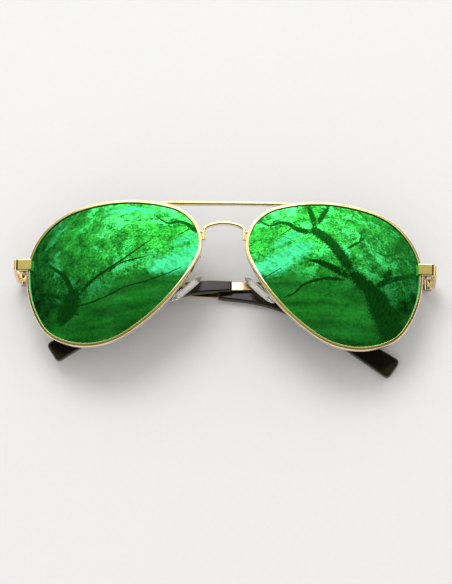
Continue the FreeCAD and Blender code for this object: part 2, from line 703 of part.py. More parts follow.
def make_temple_tip(side, sign):
    body = doc.addObject("PartDesign::Body", object_name(f"{side}_temple_tip"))
    name = object_name(f"{side}_tip")
    bend_start, bend_end, tip_end = bend_limits(side)
    corner = dim("sleeve_corner")
    stations = [(dim("sleeve_start"), dim("sleeve_start_height")),
                (bend_start, dim("sleeve_bend_height")),
                (bend_end, (dim("sleeve_bend_height") + dim("sleeve_end_height")) / 2),
                (tip_end, dim("sleeve_end_height"))]
    top = strip_edges(side, stations, 1)
    bottom = strip_edges(side, stations, -1)
    half = dim("sleeve_end_height") / 2
    shorter = tip_end - corner
    eighth = corner * (1 - math.sqrt(0.5))
    caps = []
    for rise_sign, run in ((1, top), (-1, bottom)):
        start = temple_point(side, shorter, rise_sign * half)
        middle = temple_point(side, tip_end - eighth, rise_sign * (half - eighth))
        end = temple_point(side, tip_end, rise_sign * (half - corner))
        run[-1] = (run[-1][0], start)
        caps.append((start, middle, end))
    edges = top + [caps[0], (caps[0][2], caps[1][2])] + reverse_edges([caps[1]])
    edges = edges + reverse_edges(bottom)
    edges.append((bottom[0][0], top[0][0]))
    sketch = new_sketch(body, name + "Sketch", "XY_Plane")
    add_outline(sketch, edges)
    pad = pad_feature(body, sketch, name + "Pad", "dimensions.sleeve_thickness")
    doc.recompute()
    rim_edges = []
    for index, edge in enumerate(pad.Shape.Edges, start=1):
        flat = edge.BoundBox.ZLength < 1e-6
        if flat and edge.Length > 0.5:
            rim_edges.append(f"Edge{index}")
    fillet = body.newObject("PartDesign::Fillet", name + "Round")
    fillet.Base = (pad, rim_edges)
    fillet.setExpression("Radius", "dimensions.sleeve_round")
    doc.recompute()
    bore_sketch = new_sketch(body, name + "BoreSketch", "XY_Plane")
    _, core = arm_stations(side)
    add_outline(bore_sketch, strip_profile(side, core))
    bore = body.newObject("PartDesign::Pocket", name + "Bore")
    bore.Profile = bore_sketch
    bore.Midplane = True
    bore.setExpression("Length", "dimensions.temple_thickness")
    keep(f"{side}_temple_tip", body, side_of_hinge(side, sign))


# ---------------------------------------------------------------- nose pads
def ellipse_edge(sketch, length, width):
    sketch.addGeometry(Part.Ellipse(V(length / 2, 0, 0), V(0, width / 2, 0), V(0, 0, 0)))


def make_pad_core(side, sign):
    """The plate inside the pad, and the tongue that reaches into the pad box."""
    name = object_name(f"{side}_pad_core")
    body = doc.addObject("PartDesign::Body", name + "Plate")
    sketch = new_sketch(body, name + "Sketch", "XY_Plane")
    ellipse_edge(sketch, dim("core_plate_length"), dim("core_plate_width"))
    pad_feature(body, sketch, name + "Pad", "dimensions.core_plate_thickness")
    stem = box(name + "Stem", "dimensions.stem_length", "dimensions.stem_width",
               "dimensions.box_axis", V(0, 0, -dim("box_axis") / 2))
    knuckle = cylinder(name + "Eye", "dimensions.stem_length / 2", "dimensions.stem_width",
                       V(0, dim("stem_width") / 2, -dim("box_axis")), V(0, -1, 0))
    hole = cylinder(name + "Hole", "dimensions.pad_screw_radius + dimensions.screw_clearance",
                    "2 * dimensions.pad_width", V(0, dim("pad_width"), -dim("box_axis")),
                    V(0, -1, 0))
    core = cut(name, fuse(name + "Blank", [body, stem, knuckle]), hole)
    return keep(f"{side}_pad_core", core, pad_frame(sign))


def make_nose_pad(side, sign, core):
    name = object_name(f"{side}_nose_pad")
    body = doc.addObject("PartDesign::Body", name + "Blank")
    sketch = new_sketch(body, name + "Sketch", "XY_Plane")
    ellipse_edge(sketch, dim("pad_length"), dim("pad_width"))
    pad = pad_feature(body, sketch, name + "Pad", "dimensions.pad_thickness")
    doc.recompute()
    fillet = body.newObject("PartDesign::Fillet", name + "Round")
    fillet.Base = (pad, [f"Edge{i}" for i, edge in enumerate(pad.Shape.Edges, start=1)
                         if edge.BoundBox.ZLength < 1e-6])
    fillet.setExpression("Radius", "dimensions.pad_round")
    body.Placement = pad_frame(sign)
    fitted(f"{side}_nose_pad", name, body, [core])


def make_pad_box(side, sign):
    """The cup on the pad arm, open towards the pad, and the screw across it."""
    name = object_name(f"{side}_pad_box")
    near, far = dim("box_near"), dim("box_far")
    wall = dim("box_wall")
    outer = box(name + "Outer", "dimensions.box_length", "dimensions.box_width",
                "dimensions.box_far - dimensions.box_near", V(0, 0, -(near + far) / 2))
    inner = box(name + "Inner", "dimensions.box_length - 2 * dimensions.box_wall",
                "dimensions.stem_width + dimensions.box_play", "dimensions.box_far - dimensions.box_near",
                V(0, 0, -(near + far) / 2 + wall))
    hole = cylinder(name + "Hole", "dimensions.pad_screw_radius + dimensions.screw_clearance",
                    "2 * dimensions.pad_width", V(0, dim("pad_width"), -dim("box_axis")),
                    V(0, -1, 0))
    pad_box = cut(name, outer, fuse(name + "Hollow", [inner, hole]))
    keep(f"{side}_pad_box", pad_box, pad_frame(sign))
    shift = FreeCAD.Placement(V(0, -dim("box_width") / 2, -dim("box_axis")),
                              FreeCAD.Rotation(V(1, 0, 0), -90))
    slotted_screw(f"{side}_pad_screw", "dimensions.pad_screw_radius",
                  "dimensions.pad_head_radius", "dimensions.box_width",
                  "dimensions.pad_head_height",
                  pad_frame(sign).multiply(shift))


def make_pad_arm(side, sign):
    """Bent wire from the back of the eyewire's nasal side to the floor of the pad box."""
    angle = math.radians(dim("pad_wire_angle"))
    rim_middle = outline_point(angle, dim("rim_width") / 2, sign)
    back = dim("lens_curve") + dim("rim_front") - dim("rim_depth")
    across = rim_middle.Length
    depth = math.sqrt(back ** 2 - across ** 2) - dim("lens_curve")
    root = lens_frame(sign).multVec(V(rim_middle.x, rim_middle.y, depth))
    frame = pad_frame(sign)
    floor = frame.multVec(V(0, 0, -dim("box_far")))
    above_floor = frame.multVec(V(0, 0, -dim("box_far") - dim("pad_wire_rise")))
    sunk = V(0, 0, dim("pad_wire_sunk"))
    behind = V(0, 0, -dim("pad_wire_back"))
    wire = bent_wire([root + sunk, root + behind, above_floor, floor],
                     dim("pad_wire_bend"), dim("pad_wire_radius"))
    return tool_object(object_name(f"{side}_pad_arm_blank"), wire)


# ---------------------------------------------------------------- assembly
def lie_down():
    """Turn the front so that the folded glasses rest on both hinges and on the left tip."""
    past_parallel = math.radians(dim("left_fold") - 90)
    _, _, tip_end = bend_limits("left")
    inset = dim("sleeve_round")
    tip = temple_point("left", tip_end - inset, inset - dim("sleeve_end_height") / 2)
    middle_plane = dim("temple_offset") + dim("temple_thickness") / 2
    tip_back = tip.x * math.sin(past_parallel) - middle_plane - dim("sleeve_thickness") / 2
    hinge_back = -dim("temple_offset") - dim("temple_thickness")
    run = -dim("end_height") / 2 - tip.y
    angle = math.degrees(math.atan2(tip_back - hinge_back, run))
    return FreeCAD.Placement(V(0, 0, 0), FreeCAD.Rotation(V(1, 0, 0), angle))


rims = {}
for side, sign in SIDES:
    make_eyewire(side, sign)
    make_lens(side, sign)
    rims[side] = tool_object(object_name(f"{side}_rim_envelope"), rim_envelope(sign))
make_brow_bar(list(rims.values()))
make_bridge(list(rims.values()))
for side, sign in SIDES:
    end_piece = make_end_piece(side, sign, rims[side])
    make_locks(side, sign, rims[side], end_piece)
    make_hinge(side, sign)
    make_temple_leaf(side, sign)
    make_temple_arm(side, sign)
    make_temple_tip(side, sign)
    core = make_pad_core(side, sign)
    make_nose_pad(side, sign, core)
    make_pad_box(side, sign)
    arm = make_pad_arm(side, sign)
    fitted(f"{side}_pad_arm", object_name(f"{side}_pad_arm"), arm, [rims[side]])
doc.recompute()

# Rest the whole on z = 0, with the middle of its box at x = y = 0.
turn = lie_down()
shapes = {}
for label, obj in parts.items():
    shape = obj.Shape.copy()
    shape.Placement = turn.multiply(shape.Placement)
    shapes[label] = shape
whole_box = Part.makeCompound(list(shapes.values())).optimalBoundingBox()
centre = whole_box.Center
shift = FreeCAD.Placement(V(-centre.x, -centre.y, -whole_box.ZMin), FreeCAD.Rotation())
lay = shift.multiply(turn)

# ---------------------------------------------------------------- check and write
for obj in doc.Objects:
    if "Invalid" in obj.State or "Error" in obj.State:
        raise RuntimeError(f"{obj.Name} ({obj.Label}) did not recompute")
for label, obj in parts.items():
    shape = obj.Shape
    if shape.isNull() or not shape.isValid() or len(shape.Solids) != 1:
        raise RuntimeError(f"{label} is not one valid solid")

os.makedirs("parts", exist_ok=True)
for label, obj in parts.items():
    solid = obj.Shape.Solids[0].copy()
    solid.Placement = lay.multiply(solid.Placement)
    solid.exportStep(f"parts/{label}.step")

print("box", whole_box.XLength, whole_box.YLength, whole_box.ZLength)
print("front", lay.Base, math.degrees(turn.Rotation.Angle))
print("hinge axis", lay.Rotation.multVec(V(0, 1, 0)))
for side, sign in SIDES:
    temple = lay.multiply(temple_frame(side, sign))
    pad = lay.multiply(pad_frame(sign))
    bend_start, bend_end, _ = bend_limits(side)
    under_bend = temple_point(side, (bend_start + bend_end) / 2, -dim("sleeve_bend_height") / 2)
    sleeve_face = temple_point(side, bend_start, 0) + V(0, 0, sign * (
        dim("temple_offset") + dim("temple_thickness") / 2 + dim("sleeve_thickness") / 2))
    print(f"{side} hinge", temple.Base)
    print(f"{side} pad screw", pad.multVec(V(0, 0, -dim("box_axis"))))
    print(f"{side} pad axis", pad.Rotation.multVec(V(0, 1, 0)))
    print(f"{side} under bend", temple.multVec(under_bend))
    print(f"{side} sleeve face", temple.multVec(sleeve_face))
    print(f"{side} sleeve face normal", temple.Rotation.multVec(V(0, 0, sign)))
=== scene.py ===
import bmesh
import bpy
import json
import math
import random
from mathutils import Matrix, Vector


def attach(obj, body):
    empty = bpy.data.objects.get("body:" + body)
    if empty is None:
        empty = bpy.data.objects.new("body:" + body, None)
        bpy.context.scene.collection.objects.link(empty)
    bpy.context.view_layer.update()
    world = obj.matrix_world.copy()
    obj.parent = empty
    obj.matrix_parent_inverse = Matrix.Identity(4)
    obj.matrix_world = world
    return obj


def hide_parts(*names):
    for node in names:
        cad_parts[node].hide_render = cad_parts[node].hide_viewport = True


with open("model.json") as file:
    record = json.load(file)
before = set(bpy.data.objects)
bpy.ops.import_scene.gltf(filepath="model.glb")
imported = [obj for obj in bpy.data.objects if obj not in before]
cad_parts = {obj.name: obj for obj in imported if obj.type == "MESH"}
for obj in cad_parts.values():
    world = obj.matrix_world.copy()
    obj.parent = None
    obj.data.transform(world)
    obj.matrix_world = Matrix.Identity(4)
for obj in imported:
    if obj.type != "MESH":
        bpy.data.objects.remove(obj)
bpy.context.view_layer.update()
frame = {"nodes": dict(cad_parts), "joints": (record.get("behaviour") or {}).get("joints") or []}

# Metal aviator sunglasses with green mirror lenses, folded and lying face up.  Metres, in the
# part's own frame.  The front's frame is the one the lenses are drawn in: x across the face, y up
# towards the brow bar, z forward out of the lenses, with its origin between the lens centres.

SIDES = (("left", -1), ("right", 1))
MM = 0.001

# ---------------------------------------------------------------- the front's frame
HINGE_IN_FRONT = Vector((-69.0, 4.1, -21.5)) * MM
LENS_CENTRE_X = 37.4 * MM
LENS_CURVE = 100 * MM
WRAP = math.radians(8)


def front_frame():
    """The front's frame, from the place and the axis of the left hinge."""
    hinge = next(joint for joint in frame["joints"] if joint["name"] == "left hinge")
    up = -Vector(hinge["axis"])
    turn = Matrix.Rotation(math.atan2(up.z, up.y), 4, "X")
    return Matrix.Translation(Vector(hinge["pos_m"]) - turn @ HINGE_IN_FRONT) @ turn


FRONT = front_frame()


def lens_frame(sign):
    """Frame of one lens: origin at the vertex, x towards +X, z out of the lens."""
    centre = Matrix.Translation((sign * LENS_CENTRE_X, 0, 0))
    return FRONT @ centre @ Matrix.Rotation(sign * WRAP, 4, "Y")


# ---------------------------------------------------------------- camera
CAMERA_ELEVATION = math.radians(68.17)
CAMERA_AZIMUTH = math.radians(7.44)
CAMERA_ROLL = math.radians(-6.18)
CAMERA_DISTANCE = 0.8
CAMERA_LENS, CAMERA_SENSOR = 147.9, 36
CAMERA_TARGET = Vector((1.17, -5.24, 21.27)) * MM
CAMERA_BACK = Vector((math.sin(CAMERA_AZIMUTH) * math.cos(CAMERA_ELEVATION),
                      -math.cos(CAMERA_AZIMUTH) * math.cos(CAMERA_ELEVATION),
                      math.sin(CAMERA_ELEVATION)))
CAMERA_PLACE = CAMERA_TARGET + CAMERA_BACK * CAMERA_DISTANCE


def make_camera():
    """The camera, at CAMERA_PLACE and turned a little about its own line of sight."""
    data = bpy.data.cameras.new("camera")
    data.sensor_width = CAMERA_SENSOR
    data.lens = CAMERA_LENS
    camera = bpy.data.objects.new("camera", data)
    bpy.context.scene.collection.objects.link(camera)
    level = (-CAMERA_BACK).to_track_quat("-Z", "Y").to_matrix().to_4x4()
    camera.matrix_world = (Matrix.Translation(CAMERA_PLACE) @ level
                           @ Matrix.Rotation(CAMERA_ROLL, 4, "Z"))
    bpy.context.scene.camera = camera


# ---------------------------------------------------------------- materials
class Recipe:
    """One material's nodes, added one at a time."""

    def __init__(self, tree):
        self.tree = tree
        self.tree.nodes.clear()

    def node(self, kind, inputs=(), **settings):
        """A new node; an input takes either a value or another node's output."""
        node = self.tree.nodes.new("ShaderNode" + kind)
        for name, value in settings.items():
            setattr(node, name, value)
        for name, value in dict(inputs).items():
            if isinstance(value, bpy.types.NodeSocket):
                self.tree.links.new(value, node.inputs[name])
            else:
                node.inputs[name].default_value = value
        return node

    def places(self):
        """Object coordinates, in metres."""
        return self.node("TexCoord").outputs["Object"]

    def stretched(self, scale, turn=(0, 0, 0)):
        """Object coordinates, turned and then scaled along each axis."""
        turned = self.node("Mapping", {"Vector": self.places(), "Rotation": turn})
        scaled = self.node("Mapping", {"Vector": turned.outputs["Vector"], "Scale": scale})
        return scaled.outputs["Vector"]

    def noise(self, scale, detail=2, roughness=0.5, distortion=0, places=None):
        """Noise from 0 to 1, with `scale` grains to the metre."""
        inputs = {"Vector": places or self.places(), "Scale": scale, "Detail": detail,
                  "Roughness": roughness, "Distortion": distortion}
        return self.node("TexNoise", inputs).outputs["Fac"]

    def math(self, operation, a, b=0):
        return self.node("Math", {0: a, 1: b}, operation=operation).outputs[0]

    def range(self, value, low, high, to_low=0, to_high=1, smooth=False):
        """The value moved from one range to another, and kept inside it."""
        inputs = {"Value": value, "From Min": low, "From Max": high,
                  "To Min": to_low, "To Max": to_high}
        kind = "SMOOTHSTEP" if smooth else "LINEAR"
        return self.node("MapRange", inputs, interpolation_type=kind).outputs["Result"]

    def blend(self, share, a, b):
        """Colour between a, where share is 0, and b, where it is 1."""
        node = self.node("Mix", {0: share}, data_type="RGBA")
        for index, value in ((6, a), (7, b)):
            if isinstance(value, bpy.types.NodeSocket):
                self.tree.links.new(value, node.inputs[index])
            else:
                node.inputs[index].default_value = value
        return node.outputs[2]

    def ramp(self, value, stops):
        """A smooth curve through (value, result) stops, over 0 to 1."""
        node = self.node("ValToRGB", {"Fac": value})
        elements = node.color_ramp.elements
        while len(elements) < len(stops):
            elements.new(0.5)
        for element, (position, result) in zip(elements, stops):
            element.position = position
            element.color = (result, result, result, 1)
        return node.outputs["Color"]

    def bump(self, height, distance, strength=1):
        """Normal over a relief that is `distance` metres deep."""
        inputs = {"Height": height, "Distance": distance, "Strength": strength}
        return self.node("Bump", inputs).outputs["Normal"]

    def faded_light(self, hue, strength, ragged, soft):
        """Light that thins out to nothing at the uneven edges of a band."""
        fade = self.node("Attribute", attribute_name="fade").outputs["Fac"]
        fade = self.math("ADD", fade, self.range(ragged, 0.3, 0.7, -0.25, 0.25))
        share = self.range(fade, 0.22, 0.22 + soft, smooth=True)
        light = self.node("Emission", {"Color": hue, "Strength": strength}).outputs[0]
        clear = self.node("BsdfTransparent").outputs[0]
        self.surface(self.node("MixShader", {0: share, 1: clear, 2: light}))

    def surface(self, shader):
        output = self.node("OutputMaterial")
        self.tree.links.new(shader.outputs[0], output.inputs["Surface"])


def new_material(name):
    """A material and the recipe to fill it with."""
    material = bpy.data.materials.new(name)
    material.use_nodes = True
    return material, Recipe(material.node_tree)


def gold_material():
    """Polished gold plating: slow variation of tone, fine rubbing marks, tiny pits."""
    material, r = new_material("gold_plating")
    tone = r.blend(r.noise(90, 3), (0.96, 0.75, 0.46, 1), (1.0, 0.85, 0.60, 1))
    marks = r.noise(1, 2, places=r.stretched((9000, 700, 2500)))
    worn = r.range(r.noise(600, 3), 0.3, 0.7, 0.07, 0.14)
    rough = r.math("ADD", worn, r.math("MULTIPLY", marks, 0.05))
    r.surface(r.node("BsdfPrincipled", {
        "Base Color": tone, "Metallic": 1, "Roughness": rough,
        "Normal": r.bump(marks, 2e-6, 0.25)}))
    return material


def satin_gold_material():
    """Faces of the end pieces: the same plating, brushed across."""
    material, r = new_material("satin_gold")
    tone = r.blend(r.noise(300, 3), (0.90, 0.68, 0.33, 1), (0.96, 0.76, 0.42, 1))
    marks = r.noise(1, 3, places=r.stretched((500, 9000, 9000)))
    r.surface(r.node("BsdfPrincipled", {
        "Base Color": tone, "Metallic": 1, "Roughness": r.range(marks, 0.3, 0.7, 0.26, 0.38),
        "Normal": r.bump(marks, 3e-6, 0.3)}))
    return material


def groove_shade_material():
    """Painted shade in the cut lines of the gold: dark, part-metallic faces that stand in for the
    shadow in the groove.
    """
    material, r = new_material("painted_groove_shade")
    tone = r.blend(r.noise(900, 3), (0.035, 0.02, 0.012, 1), (0.09, 0.055, 0.03, 1))
    r.surface(r.node("BsdfPrincipled", {"Base Color": tone, "Metallic": 0.6, "Roughness": 0.5}))
    return material


def steel_material():
    """Nickel-plated screws and plates: turned marks."""
    material, r = new_material("nickel_steel")
    tone = r.blend(r.noise(800, 3), (0.62, 0.58, 0.54, 1), (0.80, 0.77, 0.73, 1))
    marks = r.noise(1, 2, places=r.stretched((4000, 9000, 4000)))
    r.surface(r.node("BsdfPrincipled", {
        "Base Color": tone, "Metallic": 1, "Roughness": r.range(marks, 0.3, 0.7, 0.15, 0.32),
        "Normal": r.bump(marks, 3e-6, 0.3)}))
    return material


def mirror_material():
    """Green mirror coat: thin-film hue that turns to teal at a slant, faint wiping marks."""
    material, r = new_material("green_mirror_coat")
    slant = r.node("LayerWeight", {"Blend": 0.35}).outputs["Facing"]
    cloud = r.range(r.noise(45, 2), 0.35, 0.65)
    face_on = r.blend(cloud, (0.030, 0.42, 0.096, 1), (0.038, 0.44, 0.128, 1))
    film = r.blend(r.range(slant, 0.15, 0.9), face_on, (0.06, 0.50, 0.30, 1))
    wiped = r.noise(1, 3, places=r.stretched((300, 2500, 300), (0, 0, 0.6)))
    r.surface(r.node("BsdfPrincipled", {
        "Base Color": film, "Metallic": 1, "Roughness": r.range(wiped, 0.3, 0.8, 0.012, 0.04)}))
    return material


def smoke_material():
    """Back of the lens: dark grey-green polycarbonate."""
    material, r = new_material("smoke_lens_back")
    tone = r.blend(r.noise(60, 2), (0.010, 0.016, 0.013, 1), (0.018, 0.026, 0.021, 1))
    r.surface(r.node("BsdfPrincipled", {
        "Base Color": tone, "Roughness": r.range(r.noise(900, 2), 0.3, 0.7, 0.03, 0.06),
        "Specular IOR Level": 0.7}))
    return material


def acetate_material():
    """Polished black acetate: deep brown clouds under a clear gloss."""
    material, r = new_material("black_acetate")
    tone = r.blend(r.range(r.noise(140, 4, 0.6, 0.5), 0.4, 0.7), (0.004, 0.004, 0.004, 1),
                   (0.013, 0.011, 0.008, 1))
    r.surface(r.node("BsdfPrincipled", {
        "Base Color": tone, "Roughness": r.range(r.noise(1500, 3), 0.3, 0.7, 0.07, 0.13),
        "Specular IOR Level": 0.6, "Specular Tint": (1.0, 0.94, 0.72, 1),
        "Normal": r.bump(r.noise(2600, 2), 2e-6, 0.2)}))
    return material


def silicone_material():
    """Clear silicone of the nose pads: slightly milky, soft gloss."""
    material, r = new_material("clear_silicone")
    milk = r.noise(500, 3)
    tone = r.blend(milk, (0.95, 0.95, 0.93, 1), (1.0, 1.0, 0.99, 1))
    r.surface(r.node("BsdfPrincipled", {
        "Base Color": tone, "Roughness": r.range(milk, 0.3, 0.7, 0.05, 0.12), "IOR": 1.42,
        "Transmission Weight": 0.86,
        "Normal": r.bump(r.noise(1800, 2), 5e-6, 0.3)}))
    return material


MATERIALS = {
    "gold_metal": gold_material(),
    "satin_gold": satin_gold_material(),
    "groove": groove_shade_material(),
    "screw_steel": steel_material(),
    "mirror_lens": mirror_material(),
    "lens_back": smoke_material(),
    "tip_acetate": acetate_material(),
    "pad_silicone": silicone_material(),
    "pad_plate": steel_material(),
}

# ---------------------------------------------------------------- lens outline
# A closed chain of tangent arcs, as in the part: each starts where the outward normal has turned
# by so many degrees from straight up towards the temple.
ARC_STARTS = [math.radians(angle) for angle in (17, 91, 123, 151, 212, 246, 345)]
ARC_RADII = [radius * MM for radius in (22.3, 34.2, 13.3, 24.2, 57.2)]
OUTLINE_TOP = Vector((-3.51, 24.97)) * MM
# The eyewire stands this far in front of the lens, and is this wide from the lens opening outward.
RIM_FRONT = 0.498 * MM
RIM_WIDTH = 1.1 * MM


def normal_at(angle):
    """Outward normal, turned by `angle` from straight up towards the temple."""
    return Vector((math.sin(angle), math.cos(angle)))


ARCS = list(zip(ARC_STARTS, ARC_STARTS[1:] + [ARC_STARTS[0] + 2 * math.pi]))


def closed_radii():
    """The five given radii, and the two that close the chain."""
    spans = [normal_at(end) - normal_at(start) for start, end in ARCS]
    gap = -sum((span * radius for span, radius in zip(spans, ARC_RADII)), Vector((0, 0)))
    nasal, brow = spans[5], spans[6]
    scale = nasal.x * brow.y - nasal.y * brow.x
    return ARC_RADII + [(gap.x * brow.y - gap.y * brow.x) / scale,
                        (nasal.x * gap.y - nasal.y * gap.x) / scale]


RADII = closed_radii()


def outline_point(angle, sign, offset=0):
    """Where the lens opening's outward normal has turned by `angle`, moved out by `offset`."""
    point = OUTLINE_TOP + (normal_at(ARC_STARTS[0]) - normal_at(0)) * RADII[6]
    for radius, (start, end) in zip(RADII, ARCS):
        if angle > start:
            point = point + (normal_at(min(angle, end)) - normal_at(start)) * radius
    point = point + normal_at(angle) * offset
    return Vector((sign * point.x, point.y))


def on_shell(flat, depth):
    """Point over `flat` on the sphere that lies `depth` behind the front of the eyewire."""
    radius = LENS_CURVE + RIM_FRONT - depth
    return Vector((flat.x, flat.y, math.sqrt(radius ** 2 - flat.length_squared) - LENS_CURVE))


# ---------------------------------------------------------------- mesh helpers
def ring_faces(rows, count):
    """Quads between neighbouring closed rows of `count` points."""
    faces = []
    for i in range(rows - 1):
        for j in range(count):
            k = (j + 1) % count
            faces.append((i * count + j, i * count + k, (i + 1) * count + k, (i + 1) * count + j))
    return faces


def end_faces(total, count):
    """One flat face over the first row and one over the last."""
    return [tuple(range(count)), tuple(reversed(range(total - count, total)))]


def pole_faces(total, count):
    """Triangles from the first and last rows to the poles, which are the last two points."""
    last = total - 2 - count
    faces = []
    for j in range(count):
        k = (j + 1) % count
        faces += [(total - 2, k, j), (total - 1, last + j, last + k)]
    return faces


def mesh_piece(name, points, faces, material, body, replaced=()):
    """A smooth piece made of points in the part's frame, riding on its body."""
    mesh = bpy.data.meshes.new(name)
    mesh.from_pydata([tuple(point) for point in points], [], faces)
    mesh.validate()
    bm = bmesh.new()
    bm.from_mesh(mesh)
    bmesh.ops.recalc_face_normals(bm, faces=bm.faces)
    bm.to_mesh(mesh)
    bm.free()
    mesh.shade_smooth()
    mesh.materials.append(material)
    piece = bpy.data.objects.new(name, mesh)
    bpy.context.scene.collection.objects.link(piece)
    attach(piece, body)
    if replaced:
        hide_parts(*replaced)
    return piece


# ---------------------------------------------------------------- lenses
LENS_THICKNESS = 1.6 * MM
EDGE_GAP = 0.03 * MM
BEVEL_FRONT, BEVEL_BACK, BEVEL_HEIGHT = 0.55 * MM, 1.25 * MM, 0.5 * MM
SHARP_ANGLE = math.radians(40)


def make_lens(side, sign):
    """A curved lens, mirrored in front and dark behind, with the edge that the groove holds."""
    rings, spokes = 28, 180
    front, back = RIM_FRONT, RIM_FRONT + LENS_THICKNESS
    place = lens_frame(sign)
    rows = []
    angles = [ARC_STARTS[0] + 2 * math.pi * i / spokes for i in range(spokes)]
    rim = [outline_point(angle, sign, -EDGE_GAP) for angle in angles]
    bevel = [outline_point(angle, sign, BEVEL_HEIGHT) for angle in angles]
    for ring in range(1, rings + 1):
        rows.append([on_shell(flat * (ring / rings), front) for flat in rim])
    rows.append([on_shell(flat, BEVEL_FRONT) for flat in rim])
    rows.append([on_shell(flat, BEVEL_FRONT) for flat in bevel])
    rows.append([on_shell(flat, BEVEL_BACK) for flat in bevel])
    rows.append([on_shell(flat, BEVEL_BACK) for flat in rim])
    for ring in range(rings, 0, -1):
        rows.append([on_shell(flat * (ring / rings), back) for flat in rim])
    points = [place @ point for row in rows for point in row]
    points += [place @ on_shell(Vector((0, 0)), depth) for depth in (front, back)]
    faces = ring_faces(len(rows), spokes) + pole_faces(len(points), spokes)
    piece = mesh_piece(f"{side}_lens_mirror", points, faces, MATERIALS["mirror_lens"], "front",
                       [f"{side}_lens"])
    piece.data.materials.append(MATERIALS["lens_back"])
    out = (place.to_3x3() @ Vector((0, 0, 1))).normalized()
    piece.data.set_sharp_from_angle(angle=SHARP_ANGLE)
    for polygon in piece.data.polygons:
        faces_out = polygon.normal.dot(out) > 0.5
        polygon.material_index = 0 if faces_out else 1


# ---------------------------------------------------------------- end piece sizes
# Millimetres in the front's frame: x outward, z forward.
END_CENTRE, END_HEIGHT, END_THICKNESS = 4.1, 3.8, 1.2
END_OUTER, END_INNER, END_BEND = 71.597, 65.3, 0.9
END_FRONT_INNER, END_FRONT_OUTER, END_BACK = -7.15, -7.9, -20.95
GROOVE_SPAN = (69.95, 70.45)
GROOVE_DEPTH, GROOVE_WALL = 0.22, 0.05
STRIP_EASE, STRIP_CHAMFER = 0.15, 0.09
STRIP_EDGE_OUTSIDE, STRIP_EDGE_INSIDE = 0.22, 0.12
BEND_STEPS, INNER_BEND, CORNER_GAP, SIDE_MIDDLE = 8, 0.05, 0.06, -12
STRIP_SHARP_ANGLE = math.radians(25)
POLISHED, SATIN, GROOVED = 0, 1, 2


# ---------------------------------------------------------------- eyewires
def arc(centre, radius, start, stop, steps):
    """Points of an arc between two angles in degrees."""
    angles = [math.radians(start + (stop - start) * i / steps) for i in range(steps + 1)]
    return [(centre[0] + radius * math.cos(a), centre[1] + radius * math.sin(a)) for a in angles]


# Section of the eyewire: (outward from the lens opening, back from its front), millimetres.  The
# groove inside holds the lens bevel and the shallow one outside is the line rolled into the wire.
EYEWIRE_SECTION = (
    arc((0.22, 0.22), 0.22, 180, 262, 4) + [(0.5, 0.0)] + arc((0.836, 0.26), 0.26, 275, 360, 5)
    + [(1.096, 0.66), (0.98, 0.73), (0.98, 0.87), (1.096, 0.94)]
    + arc((0.816, 1.52), 0.28, 0, 90, 4) + arc((0.24, 1.56), 0.24, 90, 180, 4)
    + [(0.0, 1.29), (0.53, 1.29), (0.53, 0.51), (0.0, 0.51)])
# Under the end piece the wire starts this far back and this far out, with its cut points kept
# apart by a little, millimetres.
NOTCH_DEPTH, NOTCH_START = 0.62, 0.54
NOTCH_SPREAD_OUT, NOTCH_SPREAD_BACK = 0.004, 0.05
SPLIT_HALF = 0.1 * MM


def angle_at_height(height, offset):
    """Normal angle at which the temporal side of the outline crosses a height."""
    low, high = math.radians(40), math.radians(150)
    halvings = 40
    for _ in range(halvings):
        middle = (low + high) / 2
        if outline_point(middle, 1, offset).y > height:
            low = middle
        else:
            high = middle
    return low


def make_eyewire(side, sign):
    """The wire round a lens, open at its split and cut back under the end piece."""
    half_width = RIM_WIDTH / 2
    middle, half_strip = END_CENTRE * MM, END_HEIGHT * MM / 2
    split_end = angle_at_height(middle - SPLIT_HALF, half_width)
    split_start = angle_at_height(middle + SPLIT_HALF, half_width)
    notch_end = angle_at_height(middle - half_strip, half_width)
    notch_start = angle_at_height(middle + half_strip, half_width)
    nudge, spokes = 1e-4, 200
    round_way = 2 * math.pi - (notch_end - notch_start)
    free = [notch_end + nudge + (round_way - 2 * nudge) * i / spokes for i in range(spokes + 1)]
    stations = [(split_end, True), (notch_end, True)]
    stations += [(angle, False) for angle in free]
    stations += [(notch_start + 2 * math.pi, True), (split_start + 2 * math.pi, True)]
    place = lens_frame(sign)
    points = []
    for angle, notched in stations:
        turned = angle if angle < ARC_STARTS[0] + 2 * math.pi else angle - 2 * math.pi
        for index, (out, back) in enumerate(EYEWIRE_SECTION):
            if notched and back < NOTCH_DEPTH:
                out = max(out, NOTCH_START + NOTCH_SPREAD_OUT * index)
                back = NOTCH_DEPTH + NOTCH_SPREAD_BACK * back
            points.append(place @ on_shell(outline_point(turned, sign, out * MM), back * MM))
    count = len(EYEWIRE_SECTION)
    faces = ring_faces(len(stations), count) + end_faces(len(points), count)
    piece = mesh_piece(f"{side}_eyewire_rolled", points, faces, MATERIALS["gold_metal"], "front",
                       [f"{side}_eyewire"])
    piece.data.set_sharp_from_angle(angle=SHARP_ANGLE)


